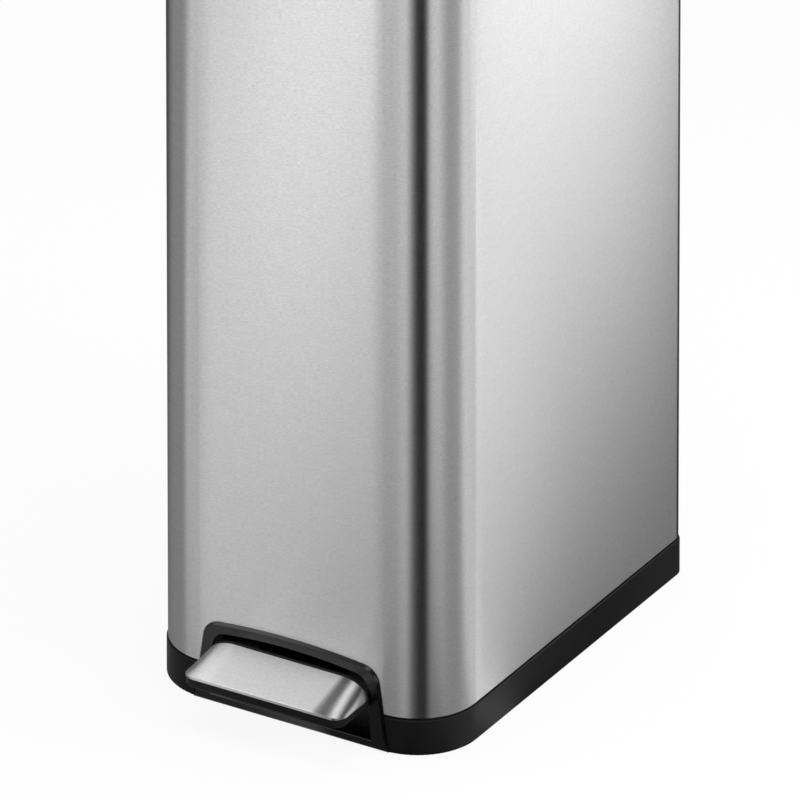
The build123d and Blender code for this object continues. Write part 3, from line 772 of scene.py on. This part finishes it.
@dataclass
class Studio:
    """White floor and backdrop, softboxes, and toned panels that show only where a surface mirrors.

    The ceiling's tones are pairs of a direction's share along +X and the brightness there. It takes
    over from the wall panels between the two shares along +Z of ceiling_edge. The wall panels' tones
    also lie on the far floor as a painted reflection, and beside the can the painted shade panels take
    over from them: a painted shadow of the can, with lighter strips, that only glossy rays see.
    """

    floor_half: float = 8.0
    floor_paint: float = 0.9
    floor_glow: float = 0.92
    floor_clear: float = 1.2
    ambient: float = 0.08
    wall_panels: tuple[Panel, ...] = (
        Panel("rear_left", -210, -140, 0.5, 20, 60),
        Panel("left_wall", -100, -58, 0.3, 24, 40),
        Panel("front_screen", -50, 19, 0.95, 40, 22),
        Panel("corner_strip", 48, 72, 1.1, 12, 24),
        Panel("right_wall", 72, 107, 0.5, 24, 16),
        Panel("side_screen", 107, 142, 1.15, 16, 12),
        Panel("rear_right", 170, 210, 0.5, 20, 20),
    )
    # Painted shade: darker tones on the floor beside the can, with lighter strips, stand for the can's
    # shadow there; only glossy rays see them.
    painted_shade_panels: tuple[Panel, ...] = (
        Panel("left_floor", -210, -43, 0.22, 20, 10),
        Panel("left_glow", -60, -43, 0.38, 16, 10),
        Panel("front_floor", -43, 17, 0.12, 10, 12),
        Panel("side_floor", 65, 112, 0.26, 20, 16),
        Panel("side_glow", 112, 139, 0.58, 16, 18),
        Panel("rear_floor", 170, 210, 0.22, 20, 20),
    )
    ceiling_tones: tuple[tuple[float, float], ...] = (
        (-1.0, 1.1), (-0.6, 1.34), (-0.42, 1.36), (-0.39, 0.5), (-0.36, 0.0),
        (-0.12, 0.0), (-0.06, 0.8), (0.02, 1.9), (0.15, 1.8), (0.25, 0.55),
        (0.35, 0.12), (0.55, 0.03), (0.7, 0.4), (0.85, 0.6), (1.0, 0.5),
    )
    ceiling_edge: tuple[float, float] = (0.35, 0.6)
    softboxes: tuple[Softbox, ...] = (
        Softbox("front_low", (-0.37, -0.80, 0.18), (-0.04, -0.15, 0.18), 0.14, 0.34, 0.55),
        Softbox("front_high", (-0.31, -0.80, 0.51), (0.02, -0.15, 0.51), 0.11, 0.36, 0.9),
        Softbox("side_low_front", (0.625, 0.46, 0.21), (0.125, -0.11, 0.21), 0.14, 0.34, 1.2),
        Softbox("side_high_rear", (0.625, 0.63, 0.49), (0.125, 0.06, 0.49), 0.21, 0.36, 3.0),
        Softbox("side_low_rear", (0.625, 0.69, 0.18), (0.125, 0.12, 0.18), 0.14, 0.34, 0.6),
        Softbox("left_low", (-0.57, -0.53, 0.14), (-0.11, -0.14, 0.14), 0.12, 0.26, 0.6),
        Softbox("top_softbox", (0.1, 0.0, 2.4), (0.0, 0.0, 0.3), 1.6, 1.6, 5.0, mirrored=False),
        Softbox("right_fill", (2.2, 0.3, 0.9), (0.1, 0.0, 0.1), 1.5, 1.5, 8.0, mirrored=False),
        Softbox("left_fill", (-2.1, -0.7, 0.9), (-0.1, -0.1, 0.1), 1.5, 1.5, 1.6, mirrored=False),
    )

    def ceiling_tone(self, graph: Graph, right: Socket) -> Socket:
        """Read the ceiling's tone from a smooth ramp, which holds it as a share of its peak.

        Args:
            graph: the graph to add to.
            right: the socket of the direction's share along +X.

        Returns:
            The socket of the tone.
        """
        peak = max(tone for share, tone in self.ceiling_tones)
        ramp = graph.add("ShaderNodeValToRGB")
        ramp.color_ramp.interpolation = "CARDINAL"
        graph.join(graph.math("MULTIPLY_ADD", right, 0.5, 0.5), ramp.inputs["Fac"])
        stops = ramp.color_ramp.elements
        for share, tone in self.ceiling_tones[1:-1]:
            stops.new(share / 2 + 0.5)
        for stop, (share, tone) in zip(stops, self.ceiling_tones):
            stop.color = (tone / peak, tone / peak, tone / peak, 1.0)
        return graph.math("MULTIPLY", ramp.outputs["Color"], peak)

    def compass_tone(self, graph: Graph, right: Socket, rear: Socket, panels: tuple[Panel, ...]) -> Socket:
        """Add up what the panels show in a compass direction.

        Args:
            graph: the graph to add to.
            right: the socket of the direction's share along +X.
            rear: the socket of the direction's share along +Y.
            panels: the panels that stand or lie round the can.

        Returns:
            The socket of the tone.
        """
        turn = graph.math("ARCTAN2", right, graph.math("MULTIPLY", rear, -1.0))
        degrees = graph.math("DEGREES", turn)
        tone = panels[0].shine(graph, degrees)
        for panel in panels[1:]:
            tone = graph.math("ADD", tone, panel.shine(graph, degrees))
        return tone

    def room_tone(self, graph: Graph) -> Socket:
        """Read the tone that is mirrored from a direction: wall panels below, the ceiling above.

        Args:
            graph: the world's graph.

        Returns:
            The colour socket of the tone.
        """
        direction = graph.split(graph.add("ShaderNodeTexCoord").outputs["Generated"])
        walls = self.compass_tone(graph, direction.outputs["X"], direction.outputs["Y"], self.wall_panels)
        ceiling = self.ceiling_tone(graph, direction.outputs["X"])
        return graph.blend(graph.step(direction.outputs["Z"], *self.ceiling_edge), walls, ceiling)

    def painted_floor_reflection(self, graph: Graph) -> Socket:
        """Paint the tone that is mirrored from the floor: a painted shadow of the can beside it, which
        gives way to the wall panels' tones with the distance from the can.

        Args:
            graph: the floor material's graph.

        Returns:
            The colour socket of the tone.
        """
        axes = graph.split(graph.add("ShaderNodeTexCoord").outputs["Object"])
        hub_x, hub_y = bend_axis()
        right = graph.math("SUBTRACT", axes.outputs["X"], hub_x)
        rear = graph.math("SUBTRACT", axes.outputs["Y"], hub_y)
        # Painted shadow of the can: the darker tones beside it.
        near = self.compass_tone(graph, right, rear, self.painted_shade_panels)
        far = self.compass_tone(graph, right, rear, self.wall_panels)
        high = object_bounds()[1]
        squares = []
        for axis, reach in (("X", high.x), ("Y", high.y)):
            beyond = graph.math("SUBTRACT", graph.math("ABSOLUTE", axes.outputs[axis]), reach)
            gap = graph.math("MAXIMUM", beyond, 0.0)
            squares.append(graph.math("MULTIPLY", gap, gap))
        distance = graph.math("SQRT", graph.math("ADD", *squares))
        return graph.blend(graph.step(distance, 0.0, self.floor_clear), near, far)

    def build_floor(self) -> None:
        """Lay a pale floor that shows white to the camera and keeps a faint shadow, and that glossy rays
        see glowing with a painted reflection and a painted shadow of the can.
        """
        half = self.floor_half
        corners = [(-half, -half, 0), (half, -half, 0), (half, half, 0), (-half, half, 0)]
        mesh = bpy.data.meshes.new("floor")
        mesh.from_pydata(corners, [], [(0, 1, 2, 3)])
        floor = bpy.data.objects.new("floor", mesh)
        bpy.context.scene.collection.objects.link(floor)
        floor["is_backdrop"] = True
        material, graph, output = new_material("white_floor")
        path = graph.add("ShaderNodeLightPath")
        paint = graph.add("ShaderNodeBsdfDiffuse")
        paint.inputs["Color"].default_value = (self.floor_paint, self.floor_paint, self.floor_paint, 1.0)
        white = graph.glow(Glow.SURFACE, WHITE)
        glow_share = graph.math("MULTIPLY", path.outputs["Is Camera Ray"], self.floor_glow)
        seen = graph.choose(glow_share, paint, white)
        # Painted light: glossy rays see the floor glow with painted tones, darker beside the can as a
        # painted shadow.
        mirrored = graph.glow(Glow.SURFACE, self.painted_floor_reflection(graph))
        shown = graph.choose(path.outputs["Is Glossy Ray"], seen, mirrored)
        graph.join(shown.outputs[0], output.inputs["Surface"])
        material.cycles.emission_sampling = "NONE"
        mesh.materials.append(material)

    def build_walls(self) -> None:
        """Set the world: white to the camera, toned panels to what mirrors, faint light to the rest."""
        world = bpy.data.worlds.new("studio")
        bpy.context.scene.world = world
        world.use_nodes = True
        world.cycles.sampling_method = "NONE"
        graph = Graph(world.node_tree)
        output = graph.add("ShaderNodeOutputWorld")
        path = graph.add("ShaderNodeLightPath")
        even = graph.glow(Glow.BACKDROP, WHITE, self.ambient)
        panels = graph.glow(Glow.BACKDROP, self.room_tone(graph))
        white = graph.glow(Glow.BACKDROP, WHITE)
        lit = graph.choose(path.outputs["Is Glossy Ray"], even, panels)
        shown = graph.choose(path.outputs["Is Camera Ray"], lit, white)
        graph.join(shown.outputs[0], output.inputs["Surface"])

    def build(self) -> None:
        """Build the floor, the walls and the lights, with colours shown as they are written."""
        self.build_floor()
        self.build_walls()
        for softbox in self.softboxes:
            softbox.build()
        bpy.context.scene.view_settings.view_transform = "Standard"


def main() -> None:
    """Dress every piece, build the studio and place the camera."""
    logging.basicConfig(level=logging.INFO, format="%(message)s")
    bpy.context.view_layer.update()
    for assembly in (SteelSkin(), MouldedBody(), Pedal(), Linkage(), Bucket(), Fasteners()):
        assembly.dress()
    Studio().build()
    Camera().build()


if __name__ == "__main__":
    main()
